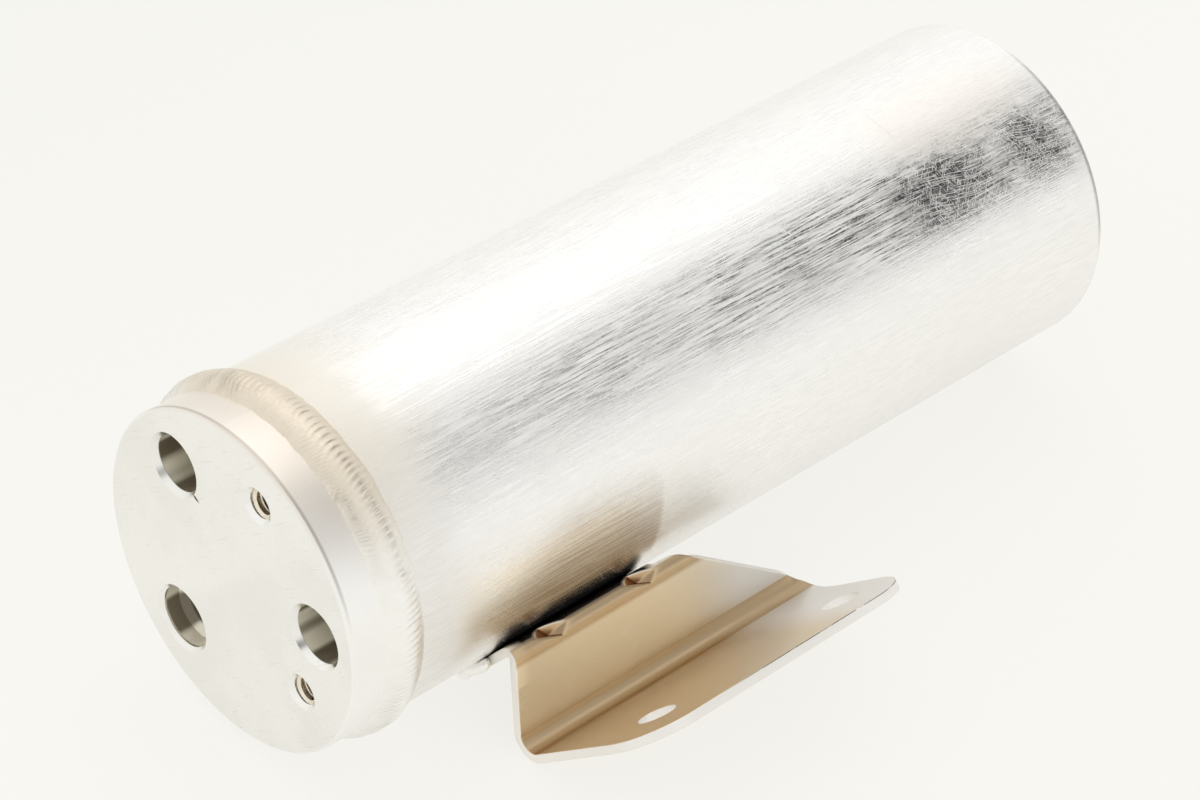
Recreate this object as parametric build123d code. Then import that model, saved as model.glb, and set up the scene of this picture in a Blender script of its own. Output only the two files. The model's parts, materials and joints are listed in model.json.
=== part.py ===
from build123d import *
from math import acos, atan2, cos, degrees, hypot, pi, radians, sin, sqrt, tan
import os

# Receiver drier of a car's air conditioner: an aluminium can that dries and filters the refrigerant.
# A machined header with the ports closes its open end and is welded in all round.
# A folded sheet bracket is welded to its side.
# Lengths are in millimetres. X runs along the can from the header's face to the closed end.
# The origin is the centre of the header's face.
# Everything is drawn with the bracket's web nearly upright and then rolled about X as it lies on a table.

# Can
can_radius = 30.0
can_wall = 2.5
can_end_x = 173.7
can_end_thickness = 4.0
can_edge_round = 0.9
can_corner_chamfer = 2.5

# Header, a little smaller than the can
header_step = 0.3
header_chamfer = 0.45
spigot_length = 11.0
spigot_clearance = 0.15
spigot_lead = 1.2

# Closing weld, from toe to toe over the joint between header and can
weld_start_x = 6.8
joint_x = 9.6
weld_end_x = 13.9
weld_crown = 1.75
weld_root = 1.4
weld_clearance = 0.08
weld_crown_steps = 8

# Ports in the header's face, each set in from its edge and at an angle from +Y
port_bore = 10.0
port_mouth = 11.4
port_mouth_depth = 1.0
port_depth = 13.0
outlet_inset = 9.4
outlet_angle = 53.3
inlet_inset = 8.95
inlet_angle = 176.4
inlet_passage = 7.0

# Switch port: a pilot bore, a conical seat, a thread core and a small passage
switch_inset = 10.1
switch_angle = -47.8
switch_mouth = 12.2
switch_mouth_depth = 0.7
switch_pilot = 10.8
switch_pilot_depth = 3.6
switch_seat_depth = 1.2
switch_core = 8.6
switch_core_depth = 13.0
switch_passage = 2.4

# Tapped holes for the clamp screws of the line fittings
outlet_tap_inset = 8.4
outlet_tap_angle = 113.6
inlet_tap_inset = 9.2
inlet_tap_angle = 215.4
tap_core = 5.0
tap_mouth = 6.5
tap_depth = 14.0
tap_point_slope = 31.0
tap_point_flat = 0.02

# Bracket sheet
sheet = 1.6
bracket_start_x = 33.0
saddle_gap = 0.1
saddle_foot_angle = -104.0
saddle_end_x = 65.0
hairpin_inner = 0.4
hairpin_standoff = 0.65
hairpin_angle = -148.1
web_lean = 3.0
web_run = 14.0
crest_end_x = 70.6
crest_round = 7.0
web_edge_slope = 34.2
lower_bend_inner = 2.4
flange_rise = 36.4
flange_end_x = 94.8
flange_width = 35.5
flange_corner = 10.0
bracket_hole = 6.6
bracket_hole_reach = 24.4
near_hole_inset = 11.1
far_hole_inset = 9.0

# Darts pressed across the hairpin by a blade that is turned a little to the bend
near_dart_inset = 8.7
far_dart_inset = 3.6
dart_half_width = 3.3
dart_reach = 3.4
dart_lean = 3.0
dart_depth = 2.0
dart_skin = 1.2

# Welds that hold the saddle
saddle_weld_leg = 2.6
saddle_weld_clearance = 0.06
end_weld_span = 14.0
end_weld_inset = 0.5
stitch_length = 10.0
stitch_inset = 3.0

# Pick-up tube and its strainer
tube_outer = 8.0
tube_wall = 1.0
tube_socket_depth = 5.0
tube_clearance = 0.1
tube_foot_gap = 9.0
cage_length = 16.0
cage_wall = 1.0
cage_cap = 1.5
cage_slot = 3.0
cage_gap = 12.0
cage_overlap = 8.8
screen_wall = 0.5
screen_clearance = 0.15
ring_thickness = 1.8

# Bed, pads and plates, stacked along the can
spring_length = 16.0
plate_thickness = 1.2
plate_rim = 4.0
pad_thickness = 5.0
stack_clearance = 0.3
plate_hole = 6.4
plate_hole_pitch = 12.5
plate_hole_margin = 1.5

# Spring, with its wire drawn six-sided
spring_radius = 10.5
spring_wire = 1.6
spring_turns = 3
spring_end_clearance = 0.1
spring_wire_sides = 6

# How far a cutting tool runs past what it cuts
overrun = 1.0

# Worked out from the values above
header_radius = can_radius - header_step
can_bore_radius = can_radius - can_wall
header_end_x = joint_x + spigot_length
can_floor_x = can_end_x - can_end_thickness
outlet_place = (header_radius - outlet_inset, outlet_angle)
inlet_place = (header_radius - inlet_inset, inlet_angle)
switch_place = (header_radius - switch_inset, switch_angle)
tap_places = (
    (header_radius - outlet_tap_inset, outlet_tap_angle),
    (header_radius - inlet_tap_inset, inlet_tap_angle),
)
bracket_hole_xs = (bracket_start_x + near_hole_inset, flange_end_x - far_hole_inset)
dart_xs = (bracket_start_x + near_dart_inset, saddle_end_x - far_dart_inset)

# The stack inside starts at the header, and the bed takes up what the rest leaves
tube_start_x = header_end_x - tube_socket_depth
tube_end_x = can_floor_x - tube_foot_gap
cage_start_x = tube_end_x - cage_overlap
cage_end_x = cage_start_x + cage_length
upper_plate_x = header_end_x + spring_length
upper_pad_x = upper_plate_x + plate_thickness
bed_x = upper_pad_x + pad_thickness
ring_x = cage_start_x - cage_gap - ring_thickness
lower_plate_x = ring_x - plate_thickness
lower_pad_x = lower_plate_x - pad_thickness
stack_radius = can_bore_radius - stack_clearance
ring_radius = stack_radius - plate_thickness - stack_clearance - outlet_place[0]
tube_bore = tube_outer / 2 - tube_wall
tube_hole = tube_outer / 2 + tube_clearance
cage_bore = tube_hole + screen_wall + screen_clearance


def place(polar):
    """The point (y, z) at a radius and an angle in degrees from +Y."""
    radius, angle = polar
    return radius * cos(radians(angle)), radius * sin(radians(angle))


def rod(radius, start_x, end_x, centre=(0, 0)):
    """A cylinder along X."""
    disc = Plane.YZ.offset(start_x) * Pos(centre[0], centre[1]) * Circle(radius)
    return extrude(disc, end_x - start_x)


def tube(outer, inner, start_x, end_x, centre=(0, 0)):
    return rod(outer, start_x, end_x, centre) - rod(inner, start_x, end_x, centre)


def turned(profile, centre=(0, 0)):
    """A closed outline of (x, r) points turned about an axis along X."""
    outline = make_face(Plane.XZ * Polyline(*profile, close=True))
    return Pos(0, centre[0], centre[1]) * revolve(outline, Axis.X)


def drilled(steps, centre):
    """A stepped hole along X, as (x, r) points that follow its wall from the mouth inwards."""
    return turned([(steps[0][0], 0), *steps, (steps[-1][0], 0)], centre)


# Header and can

def port_hole(polar):
    mouth, bore = port_mouth / 2, port_bore / 2
    return drilled([(0, mouth), (port_mouth_depth, bore), (port_depth, bore)], place(polar))


def switch_hole():
    seat_x = switch_pilot_depth + switch_seat_depth
    core_x = seat_x + switch_core_depth
    steps = [(0, switch_mouth / 2), (switch_mouth_depth, switch_pilot / 2)]
    steps += [(switch_pilot_depth, switch_pilot / 2), (seat_x, switch_core / 2)]
    steps += [(core_x, switch_core / 2), (core_x, switch_passage / 2), (header_end_x, switch_passage / 2)]
    return drilled(steps, place(switch_place))


def tapped_hole(polar):
    """The tap drill's hole with its countersunk mouth and its drill point."""
    core = tap_core / 2
    mouth_depth = tap_mouth / 2 - core
    tip_x = tap_depth + core * tan(radians(tap_point_slope))
    steps = [(0, tap_mouth / 2), (mouth_depth, core), (tap_depth, core), (tip_x, tap_point_flat / 2)]
    return drilled(steps, place(polar))


def make_header():
    spigot_radius = can_bore_radius - spigot_clearance
    profile = [(0, 0), (0, header_radius - header_chamfer), (header_chamfer, header_radius)]
    profile += [(weld_start_x, header_radius), (joint_x, header_radius - weld_root), (joint_x, spigot_radius)]
    profile += [(header_end_x - spigot_lead, spigot_radius), (header_end_x, spigot_radius - spigot_lead)]
    profile += [(header_end_x, 0)]
    body = turned(profile)
    for polar in (outlet_place, inlet_place):
        body -= port_hole(polar)
    body -= rod(inlet_passage / 2, port_depth, header_end_x, place(inlet_place))
    outlet = place(outlet_place)
    body -= rod(tube_bore, port_depth, tube_start_x, outlet)
    body -= rod(tube_hole, tube_start_x, header_end_x, outlet)
    body -= switch_hole()
    for polar in tap_places:
        body -= tapped_hole(polar)
    return body


def make_can():
    profile = [(joint_x, can_bore_radius), (joint_x, header_radius - weld_root)]
    profile += [(weld_end_x, can_radius), (can_end_x, can_radius), (can_end_x, 0), (can_floor_x, 0)]
    profile += [(can_floor_x, can_bore_radius - can_corner_chamfer)]
    profile += [(can_floor_x - can_corner_chamfer, can_bore_radius)]
    body = turned(profile)
    rim = body.edges().filter_by(GeomType.CIRCLE).sort_by(Axis.X)[-1]
    return fillet(rim, can_edge_round)


def make_closing_weld():
    """The bead: its root fills the V between header and can, and its crown follows an arc from toe to toe."""
    gap = weld_clearance
    start = (weld_start_x, header_radius + gap)
    end = (weld_end_x, can_radius + gap)
    crown = ((weld_start_x + weld_end_x) / 2, can_radius + weld_crown)
    root = (joint_x, header_radius - weld_root + gap)
    arc = ThreePointArc(start, crown, end)
    section = [arc @ (i / weld_crown_steps) for i in range(weld_crown_steps + 1)]
    return turned([*[(p.X, p.Y) for p in section], root])


# Bracket: one strip, bent along its middle line, then trimmed to its outline

def left_of(heading):
    return Vector(-sin(radians(heading)), cos(radians(heading)))


def ahead(heading):
    return Vector(cos(radians(heading)), sin(radians(heading)))


def walk(point, heading, moves, shift):
    """The edges of one face of a bent strip. Shift is how far that face lies left of the middle line.

    A move is (length, 0) for a straight run or (radius, turn) for a bend, with a left turn positive.
    """
    edges = []
    for size, turn in moves:
        first = point + left_of(heading) * shift
        if turn == 0:
            point = point + ahead(heading) * size
            edges.append(Line(first, point + left_of(heading) * shift))
            continue
        inward = size if turn > 0 else -size
        centre = point + left_of(heading) * inward
        middle = centre + left_of(heading + turn / 2) * (shift - inward)
        heading = heading + turn
        point = centre - left_of(heading) * inward
        edges.append(ThreePointArc(first, middle, point + left_of(heading) * shift))
    return edges


def bent_strip(point, heading, moves, thickness):
    """The section of a sheet that follows the moves."""
    left = walk(point, heading, moves, thickness / 2)
    right = walk(point, heading, moves, -thickness / 2)
    caps = [Line(left[0] @ 0, right[0] @ 0), Line(left[-1] @ 1, right[-1] @ 1)]
    return make_face([*left, *right, *caps])


saddle_radius = can_radius + saddle_gap + sheet / 2
hairpin_radius = hairpin_inner + sheet / 2
hairpin_outer = hairpin_inner + sheet
hairpin_reach = can_radius + saddle_gap + hairpin_standoff + hairpin_outer
hairpin_centre = Vector(*place((hairpin_reach, hairpin_angle)))
release = degrees(acos((saddle_radius + hairpin_radius) / hairpin_reach))
release_angle = hairpin_angle + release
lead_length = sqrt(hairpin_reach**2 - (saddle_radius + hairpin_radius) ** 2)
lead_heading = release_angle - 90
web_heading = 270 - web_lean
hairpin_turn = web_heading - (lead_heading + 360)
flange_heading = 180 - flange_rise
bend_radius = lower_bend_inner + sheet / 2
bend_outer = lower_bend_inner + sheet
bend_turn = flange_heading - web_heading

web_start = hairpin_centre - left_of(web_heading) * hairpin_radius
web_end = web_start + ahead(web_heading) * web_run
bend_centre = web_end - left_of(web_heading) * bend_radius

# The theoretical corner where the web's and the flange's upper faces would meet
corner_half = radians((180 + bend_turn) / 2)
corner = bend_centre + left_of((web_heading + flange_heading) / 2) * (lower_bend_inner / sin(corner_half))
bend_setback = lower_bend_inner / tan(corner_half)
web_fall = hairpin_centre.Y + hairpin_outer - bend_centre.Y
blank_end_x = crest_end_x + web_fall / tan(radians(web_edge_slope)) + lower_bend_inner * 2


def strip_moves():
    saddle_turn = release_angle - saddle_foot_angle
    moves = [(saddle_radius, saddle_turn), (lead_length, 0), (hairpin_radius, hairpin_turn)]
    return moves + [(web_run, 0), (bend_radius, bend_turn), (flange_width - bend_setback, 0)]


def bracket_strip():
    foot = Vector(*place((saddle_radius, saddle_foot_angle)))
    section = bent_strip(foot, saddle_foot_angle - 90, strip_moves(), sheet)
    return extrude(Plane.YZ.offset(bracket_start_x) * section, blank_end_x - bracket_start_x)


def web_trim():
    """What is cut off beyond the web's sloping edge, seen along Y."""
    crest_z = hairpin_centre.Y + hairpin_outer
    fall = web_fall + bend_outer
    foot_x = crest_end_x + fall / tan(radians(web_edge_slope))
    edge_top = (crest_end_x, crest_z)
    outline = Polyline(
        (crest_end_x - crest_round * 2, crest_z),
        edge_top,
        (foot_x, crest_z - fall),
        (foot_x + overrun, crest_z - fall),
        (foot_x + overrun, crest_z + overrun),
        (crest_end_x - crest_round * 2, crest_z + overrun),
        close=True,
    )
    face = make_face(outline)
    point = face.vertices().sort_by_distance(Vector(*edge_top))[0]
    face = fillet(point, crest_round)
    block = extrude(Plane.XZ * face, -bend_centre.X)
    return block - Pos(0, hairpin_centre.X, 0) * Box(
        can_end_x * 2, can_radius * 2, can_radius * 4, align=(Align.CENTER, Align.MIN, Align.CENTER)
    )


def saddle_trim():
    """What is cut off beyond the saddle's straight end."""
    length = blank_end_x - saddle_end_x
    size = can_radius * 2
    block = Box(length, size, size * 2, align=(Align.MIN, Align.MIN, Align.CENTER))
    return Pos(saddle_end_x, hairpin_centre.X, 0) * block


def flange_plane():
    """X along the can, Y outwards along the flange, on its upper face, from the theoretical corner."""
    outward = ahead(flange_heading)
    normal = Vector(1, 0, 0).cross(Vector(0, outward.X, outward.Y))
    return Plane(origin=(0, corner.X, corner.Y), x_dir=(1, 0, 0), z_dir=normal)


def flange_outline():
    """The flange seen square on, from the bend to its rounded outer corners."""
    flare_end = bend_setback + flange_corner / 2
    corner_x = flange_end_x - flange_corner
    near_x = bracket_start_x + flange_corner
    far_s = flange_width
    side = flange_width - flange_corner
    swing = flange_corner * (1 - cos(pi / 4))
    path = [
        Line((bracket_start_x, 0), (bracket_start_x, side)),
        ThreePointArc(
            (bracket_start_x, side), (bracket_start_x + swing, far_s - swing), (near_x, far_s)
        ),
        Line((near_x, far_s), (corner_x, far_s)),
        ThreePointArc((corner_x, far_s), (flange_end_x - swing, far_s - swing), (flange_end_x, side)),
        Line((flange_end_x, side), (flange_end_x, flare_end)),
        Spline(
            (flange_end_x, flare_end),
            (blank_end_x, 0),
            tangents=((0, -1), (sin(radians(web_edge_slope)), -cos(radians(web_edge_slope)))),
        ),
        Line((blank_end_x, 0), (bracket_start_x, 0)),
    ]
    return make_face(path)


def flange_trim():
    """What is cut off round the flange's outline."""
    frame = Pos(blank_end_x / 2, 0) * Rectangle(
        blank_end_x * 2, flange_width * 2, align=(Align.CENTER, Align.MIN)
    )
    waste = frame - flange_outline()
    return extrude(flange_plane() * waste, sheet + overrun, both=True)


def bracket_holes():
    plane = flange_plane()
    holes = [
        extrude(plane * Pos(x, bracket_hole_reach) * Circle(bracket_hole / 2), sheet + overrun, both=True)
        for x in bracket_hole_xs
    ]
    return Part() + holes


bisector_heading = web_heading - hairpin_turn / 2 - 90
bisector = ahead(bisector_heading)


def dart_wedge(depth, reach):
    """A four-sided spike laid across the hairpin: where its sides leave the metal, the dart has its lips.

    Depth is how far its point lies inside the crest, and reach is how far each tip lies down a leg.
    """
    scale = (depth + hairpin_outer) / depth
    point = hairpin_centre + bisector * (hairpin_outer - depth)
    crest = hairpin_centre + bisector * hairpin_outer
    web_tip = hairpin_centre - left_of(web_heading) * hairpin_outer + ahead(web_heading) * reach
    lead_tip = hairpin_centre - left_of(lead_heading) * hairpin_outer - ahead(lead_heading) * reach
    apex = Vector(0, point.X, point.Y)
    rim = [
        Vector(-dart_half_width, crest.X, crest.Y),
        Vector(dart_lean, web_tip.X, web_tip.Y),
        Vector(dart_half_width, crest.X, crest.Y),
        Vector(-dart_lean, lead_tip.X, lead_tip.Y),
    ]
    rim = [apex + (corner_point - apex) * scale for corner_point in rim]
    sides = [Face(Wire.make_polygon([rim[i - 1], rim[i], apex])) for i in range(4)]
    lid = [Face(Wire.make_polygon(points)) for points in (rim[:3], [rim[2], rim[3], rim[0]])]
    return Solid(Shell(sides + lid))


def crotch():
    """The room inside the hairpin, between the middles of its two legs."""
    length = dart_reach * 2
    web_point = web_start + ahead(web_heading) * length
    lead_point = hairpin_centre - left_of(lead_heading) * hairpin_radius - ahead(lead_heading) * length
    lead_end = hairpin_centre - left_of(lead_heading) * hairpin_radius
    top = hairpin_centre + bisector * hairpin_radius
    corners = (top, web_start, web_point, lead_point, lead_end)
    outline = Polyline(*[(p.X, p.Y) for p in corners], close=True)
    width = dart_half_width + dart_lean + sheet
    return extrude(Plane.YZ * make_face(outline), width, both=True)


def make_bracket():
    body = bracket_strip() - web_trim() - saddle_trim() - flange_trim() - bracket_holes()
    swell = dart_wedge(dart_depth + dart_skin, dart_reach + dart_skin) & crotch()
    for x in dart_xs:
        body = body + Pos(x, 0, 0) * swell - Pos(x, 0, 0) * dart_wedge(dart_depth, dart_reach)
    return body


# Welds that hold the saddle to the can

def saddle_weld_section(sign):
    """A fillet in the corner between the saddle's end and the can, as (x, r) points from that corner."""
    gap = saddle_weld_clearance
    low = can_radius + gap
    high = can_radius + saddle_gap + sheet
    return [(sign * gap, low), (sign * saddle_weld_leg, low), (sign * gap, high)]


def end_weld(corner_x, sign):
    """A short weld across the saddle's end, from where the sheet leaves the can."""
    outline = [(corner_x + dx, r) for dx, r in saddle_weld_section(sign)]
    face = make_face(Plane.XY * Polyline(*outline, close=True))
    weld = revolve(face, Axis.X, end_weld_span)
    return Rot(X=release_angle + end_weld_inset) * weld


def edge_weld():
    """Two stitches along the saddle's lower edge."""
    gap = saddle_weld_clearance
    foot = saddle_foot_angle
    low = can_radius + gap
    toe = foot + degrees(saddle_weld_leg / can_radius)
    near = foot + degrees(gap / can_radius)
    points = [place((low, near)), place((low + saddle_gap + sheet, near)), place((low, toe))]
    face = make_face(Polyline(*points, close=True))
    starts = (bracket_start_x + stitch_inset, saddle_end_x - stitch_inset - stitch_length)
    return Part() + [extrude(Plane.YZ.offset(x) * face, stitch_length) for x in starts]


# Inside the can

def make_pickup_tube():
    return tube(tube_outer / 2, tube_bore, tube_start_x, tube_end_x, place(outlet_place))


def make_strainer_cage():
    """A cup round the tube's foot, with four windows beyond the tube's end."""
    centre = place(outlet_place)
    outer = cage_bore + cage_wall
    cap_x = cage_end_x - cage_cap
    body = rod(outer, cage_start_x, cage_end_x, centre) - rod(cage_bore, cage_start_x, cap_x, centre)
    length = cap_x - cage_wall - tube_end_x
    window = Box(length, outer * 3, cage_slot, align=(Align.MIN, Align.CENTER, Align.CENTER))
    for angle in (0, 90):
        body -= Pos(tube_end_x, centre[0], centre[1]) * Rot(X=angle) * window
    return body


def make_strainer_screen():
    outer = cage_bore - screen_clearance
    return tube(outer, outer - screen_wall, cage_start_x, cage_end_x - cage_cap, place(outlet_place))


def make_push_ring():
    return tube(ring_radius, tube_hole, ring_x, ring_x + ring_thickness, place(outlet_place))


def perforate(plate, start_x):
    """Rings of holes at one pitch, left out where one would come too near the pick-up tube."""
    tube_centre = place(outlet_place)
    keep_off = ring_radius + plate_hole / 2 + plate_hole_margin
    reach = plate_hole_pitch
    while reach + plate_hole / 2 + plate_hole_margin < stack_radius - plate_thickness:
        count = int(2 * pi * reach / plate_hole_pitch)
        for i in range(count):
            centre = place((reach, 360 / count * i))
            if hypot(centre[0] - tube_centre[0], centre[1] - tube_centre[1]) > keep_off:
                plate -= rod(plate_hole / 2, start_x - overrun, start_x + plate_thickness + overrun, centre)
        reach += plate_hole_pitch
    return plate


def make_plate(start_x, rim_start_x):
    """A perforated disc with a rim turned along the can's wall."""
    disc = rod(stack_radius, start_x, start_x + plate_thickness)
    rim = tube(stack_radius, stack_radius - plate_thickness, rim_start_x, rim_start_x + plate_rim)
    hole = rod(tube_hole, start_x - overrun, start_x + plate_thickness + overrun, place(outlet_place))
    return perforate(disc + rim - hole, start_x)


def stack_disc(start_x, end_x):
    """A pad or the bed: it fills the can's bore round the pick-up tube."""
    hole = rod(tube_outer / 2 + stack_clearance, start_x - overrun, end_x + overrun, place(outlet_place))
    return rod(stack_radius, start_x, end_x) - hole


def make_spring():
    wire = spring_wire / 2
    start_x = header_end_x + wire + spring_end_clearance
    height = spring_length - 2 * (wire + spring_end_clearance)
    path = Helix(height / spring_turns, height, spring_radius)
    section = Plane(path @ 0, z_dir=path % 0) * RegularPolygon(wire, spring_wire_sides)
    coil = sweep(section, path, is_frenet=True)
    return Pos(start_x, 0, 0) * Rot(Y=90) * coil


# The roll at which the can's side and the bracket's lower bend touch the table together

def rest_roll():
    reach = hypot(bend_centre.X, bend_centre.Y)
    side = (can_radius + (can_radius + weld_crown)) / 2
    bend_angle = degrees(atan2(bend_centre.Y, bend_centre.X))
    down = bend_angle + degrees(acos((side - bend_outer) / reach))
    return -90 - down


pieces = {
    "header": make_header(),
    "can": make_can(),
    "closing_weld": make_closing_weld(),
    "mounting_bracket": make_bracket(),
    "bracket_weld_front": end_weld(bracket_start_x, -1),
    "bracket_weld_rear": end_weld(saddle_end_x, 1),
    "bracket_weld_edge": edge_weld(),
    "pickup_tube": make_pickup_tube(),
    "tube_push_ring": make_push_ring(),
    "strainer_cage": make_strainer_cage(),
    "strainer_screen": make_strainer_screen(),
    "upper_plate": make_plate(upper_plate_x, upper_plate_x - plate_rim + plate_thickness),
    "upper_filter_pad": stack_disc(upper_pad_x, bed_x),
    "desiccant_bed": stack_disc(bed_x, lower_pad_x),
    "lower_filter_pad": stack_disc(lower_pad_x, lower_plate_x),
    "lower_plate": make_plate(lower_plate_x, lower_plate_x),
    "hold_down_spring": make_spring(),
}

roll = rest_roll()
os.makedirs("parts", exist_ok=True)
for name, piece in pieces.items():
    export_step(Rot(X=roll) * piece, f"parts/{name}.step")
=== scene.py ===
# %% [markdown]
# # A receiver drier on a white table
# The part is an aluminium can with a machined header welded into its open end, and a folded sheet
# bracket on its side. The solids come from the CAD model, which fixes every size and place. This
# lesson dresses them: it swaps the plain weld for a rippled one, folds the bracket from a flat
# blank as a press would, cuts threads into the header, and gives each metal its own finish.

# %% Load the model
import json
from math import acos, atan2, cos, degrees, hypot, pi, radians, sin, sqrt, tan

import bmesh
import bpy
from mathutils import Matrix, Vector, noise


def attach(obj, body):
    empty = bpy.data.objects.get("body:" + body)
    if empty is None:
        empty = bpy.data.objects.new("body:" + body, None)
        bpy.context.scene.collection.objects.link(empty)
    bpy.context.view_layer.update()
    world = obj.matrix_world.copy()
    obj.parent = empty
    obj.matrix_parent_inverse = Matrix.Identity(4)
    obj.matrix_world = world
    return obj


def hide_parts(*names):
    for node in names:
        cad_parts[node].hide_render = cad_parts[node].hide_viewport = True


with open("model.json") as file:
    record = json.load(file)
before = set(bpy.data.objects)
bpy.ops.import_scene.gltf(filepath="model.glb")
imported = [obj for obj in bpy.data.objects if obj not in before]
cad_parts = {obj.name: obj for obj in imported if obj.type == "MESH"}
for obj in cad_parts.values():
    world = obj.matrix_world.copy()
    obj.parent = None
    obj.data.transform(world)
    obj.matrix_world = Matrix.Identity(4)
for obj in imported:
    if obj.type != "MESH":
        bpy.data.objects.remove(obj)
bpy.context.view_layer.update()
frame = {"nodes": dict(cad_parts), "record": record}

MM = 0.001
mounts = {m["name"]: m for m in frame["record"]["mounts"]}
print("pieces:", ", ".join(sorted(frame["nodes"])))

# %% [markdown]
# ## Which way the drawing lies
# The bracket was drawn with its web nearly upright and then rolled about X with the can, until
# the can and the bracket's lower bend rest on the table together. New pieces are made in the
# drawing's directions, because its bends are easy to describe there, and are rolled at the end.
# The roll isn't typed in: it is the angle between the flange as drawn and as packed.

# %% The roll
FLANGE_RISE = 36.4
flange_heading = 180 - FLANGE_RISE
flange_axis = mounts["bracket_face"]["axis"]
roll = degrees(atan2(flange_axis[2], flange_axis[1])) - (flange_heading + 90)
roll = radians((roll + 180) % 360 - 180)
TO_TABLE = Matrix.Rotation(roll, 4, "X")
print("roll", round(degrees(roll), 3), "degrees")


# %% A finished mesh becomes a piece
def place_piece(bm, name, material, stands_for=(), sharp=40, roll_it=True):
    """Turns a bmesh in millimetres into an object at the origin that rides on the part."""
    bmesh.ops.scale(bm, vec=(MM, MM, MM), verts=bm.verts)
    if roll_it:
        bmesh.ops.transform(bm, matrix=TO_TABLE, verts=bm.verts)
    for face in bm.faces:
        face.smooth = True
    for edge in bm.edges:
        if len(edge.link_faces) == 2 and edge.calc_face_angle(0) > radians(sharp):
            edge.smooth = False
    mesh = bpy.data.meshes.new(name)
    bm.to_mesh(mesh)
    bm.free()
    piece = bpy.data.objects.new(name, mesh)
    bpy.context.scene.collection.objects.link(piece)
    piece.data.materials.append(material)
    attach(piece, "root")
    if stands_for:
        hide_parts(*stands_for)
    print(name, len(mesh.polygons), "faces")
    return piece


# %% [markdown]
# ## Node helpers
# Every finish is built from noise, because real metal is never even. The small helpers below add
# a node and wire its inputs in one line, so that a material reads as a list of layers.

# %% Add a node
def feed(tree, socket, value):
    """Joins a socket to another node's socket, or sets it to a plain value."""
    if isinstance(value, bpy.types.NodeSocket):
        tree.links.new(value, socket)
    else:
        socket.default_value = value


def add_node(tree, kind, inputs=None, **settings):
    """A new node with its settings and its inputs."""
    node = tree.nodes.new(kind)
    for key, value in settings.items():
        setattr(node, key, value)
    for key, value in (inputs or {}).items():
        feed(tree, node.inputs[key], value)
    return node


# %% Arithmetic
def math_node(tree, operation, a, b=0.0, clamp=False):
    node = add_node(tree, "ShaderNodeMath", {0: a, 1: b}, operation=operation, use_clamp=clamp)
    return node.outputs[0]


def times(tree, *values):
    """The product of two or more values."""
    product = values[0]
    for value in values[1:]:
        product = math_node(tree, "MULTIPLY", product, value)
    return product


def plus(tree, value, other, amount, clamp=False):
    """The value plus an amount of another one. A negative amount takes it away."""
    return math_node(tree, "ADD", value, times(tree, other, amount), clamp=clamp)


def vector_node(tree, operation, a, b=(0, 0, 0)):
    node = add_node(tree, "ShaderNodeVectorMath", {0: a, 1: b}, operation=operation)
    return node.outputs["Value" if operation in ("LENGTH", "DOT_PRODUCT") else "Vector"]


def off_axis(tree, place):
    """How far a point is from the can's axis."""
    squares = [math_node(tree, "POWER", place[name], 2.0) for name in "YZ"]
    return math_node(tree, "SQRT", math_node(tree, "ADD", *squares))


# %% Ramps and blends
def ramp(tree, value, low, high, out_low=0.0, out_high=1.0):
    """A value carried smoothly from one range to another."""
    limits = {"From Min": low, "From Max": high, "To Min": out_low, "To Max": out_high}
    node = add_node(tree, "ShaderNodeMapRange", {"Value": value, **limits}, interpolation_type="SMOOTHSTEP")
    return node.outputs["Result"]


def fall(tree, value, low, high):
    """A mask: 1 below low, 0 above high."""
    return ramp(tree, value, low, high, 1.0, 0.0)


def window(tree, value, rise, drop):
    """A mask that rises over one pair of values and falls over another."""
    return times(tree, ramp(tree, value, *rise), fall(tree, value, *drop))


def blend_value(tree, factor, a, b):
    return add_node(tree, "ShaderNodeMix", {0: factor, 2: a, 3: b}, data_type="FLOAT").outputs[0]


def blend_colour(tree, factor, a, b, how="MIX"):
    node = add_node(tree, "ShaderNodeMix", {0: factor, 6: a, 7: b}, data_type="RGBA", blend_type=how)
    return node.outputs[2]


# %% Node groups
def new_group(name, inputs, outputs):
    """An empty node group with named sockets: a list of (name, type, default)."""
    tree = bpy.data.node_groups.new(name, "ShaderNodeTree")
    for label, kind, default in inputs:
        socket = tree.interface.new_socket(label, in_out="INPUT", socket_type=kind)
        if default is not None:
            socket.default_value = default
    for label, kind in outputs:
        tree.interface.new_socket(label, in_out="OUTPUT", socket_type=kind)
    return tree, tree.nodes.new("NodeGroupInput").outputs, tree.nodes.new("NodeGroupOutput").inputs


def use_group(tree, group, **values):
    """Places a group in a material. Underscores in the keywords stand for spaces."""
    node = tree.nodes.new("ShaderNodeGroup")
    node.node_tree = group
    for key, value in values.items():
        feed(tree, node.inputs[key.replace("_", " ")], value)
    return node.outputs


# %% [markdown]
# ## Effects that several metals share
# **Streaks** are the marks of drawing and brushing: noise stretched a hundred times one way.
# **Scratches** are the sparse, nearly straight marks of handling: the same stretched noise, turned
# to any direction and cut off so high that only its tips are left. **Mottle** is the cloudy
# dullness of bare aluminium. **Heat** is the straw tint that welding leaves, strongest at the weld
# and gone a few centimetres away. A **spot** is one stain or patch at a place of its own. Each is
# a node group, built once and placed in every material that needs it.

# %% Streaks
VALUE, VECTOR, COLOUR = "NodeSocketFloat", "NodeSocketVector", "NodeSocketColor"

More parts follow.
